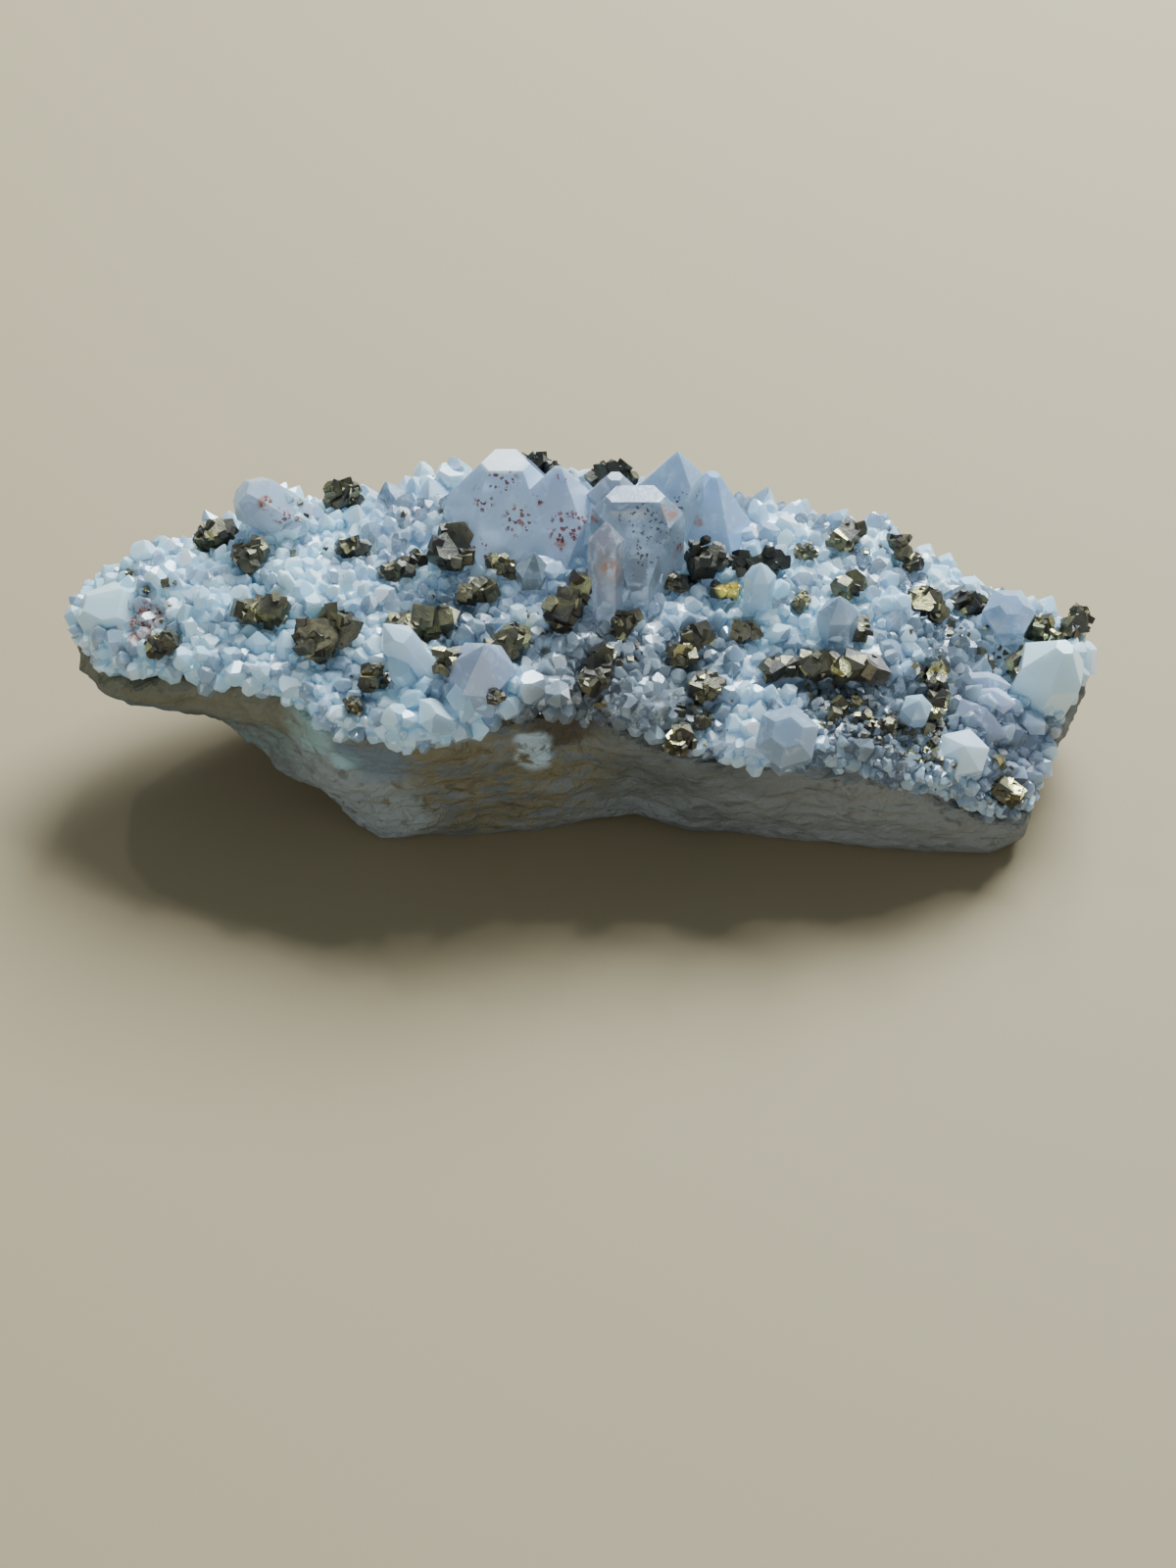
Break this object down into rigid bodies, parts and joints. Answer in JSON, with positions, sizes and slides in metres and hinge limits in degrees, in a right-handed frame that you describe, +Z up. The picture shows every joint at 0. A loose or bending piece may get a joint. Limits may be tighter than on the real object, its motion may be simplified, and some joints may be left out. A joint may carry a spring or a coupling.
{
  "type": "quartz and pyrite cluster",
  "caption": "Cluster of milky quartz points dotted with bronze pyrite, grown on a broken slab of matrix rock that lies on a flat underside.",
  "frame": {"origin": "centre of the bounding box, at the level of the flat underside", "axes": "+X along the cluster's length, +Z up, -Y the long side with the steep rock face that the picture shows"},
  "size_m": [0.1016, 0.0428, 0.0323],
  "materials": {
    "matrix_rock": "broken grey-brown and olive rock, matt",
    "milky_quartz": "milky to clear bluish-white quartz, glassy",
    "pyrite": "dark bronze to brassy tarnished metal lustre"
  },
  "bodies": {
    "root": {"matrix_rock": "matrix_rock", "quartz_crust": "milky_quartz", "pyrite_centre_01": "pyrite", "pyrite_centre_02": "pyrite", "pyrite_centre_03": "pyrite", "pyrite_centre_04": "pyrite", "pyrite_centre_05": "pyrite", "pyrite_centre_06": "pyrite", "pyrite_centre_07": "pyrite", "pyrite_centre_08": "pyrite", "pyrite_centre_09": "pyrite", "pyrite_centre_10": "pyrite", "pyrite_centre_11": "pyrite", "pyrite_crest_01": "pyrite", "pyrite_crest_02": "pyrite", "pyrite_crest_03": "pyrite", "pyrite_crest_04": "pyrite", "pyrite_crest_05": "pyrite", "pyrite_crest_06": "pyrite", "pyrite_crest_07": "pyrite", "pyrite_crest_08": "pyrite", "pyrite_crest_09": "pyrite", "pyrite_left_01": "pyrite", "pyrite_left_02": "pyrite", "pyrite_left_03": "pyrite", "pyrite_left_04": "pyrite", "pyrite_left_05": "pyrite", "pyrite_left_06": "pyrite", "pyrite_left_07": "pyrite", "pyrite_left_08": "pyrite", "pyrite_left_09": "pyrite", "pyrite_right_01": "pyrite", "pyrite_right_02": "pyrite", "pyrite_right_03": "pyrite", "pyrite_right_04": "pyrite", "pyrite_right_05": "pyrite", "pyrite_right_06": "pyrite", "pyrite_right_07": "pyrite", "pyrite_right_08": "pyrite", "pyrite_right_09": "pyrite", "pyrite_right_10": "pyrite", "pyrite_right_11": "pyrite", "pyrite_right_12": "pyrite", "pyrite_right_13": "pyrite", "pyrite_right_14": "pyrite", "pyrite_right_15": "pyrite", "pyrite_right_16": "pyrite", "pyrite_right_17": "pyrite", "pyrite_right_18": "pyrite"}
  },
  "joints": []
}
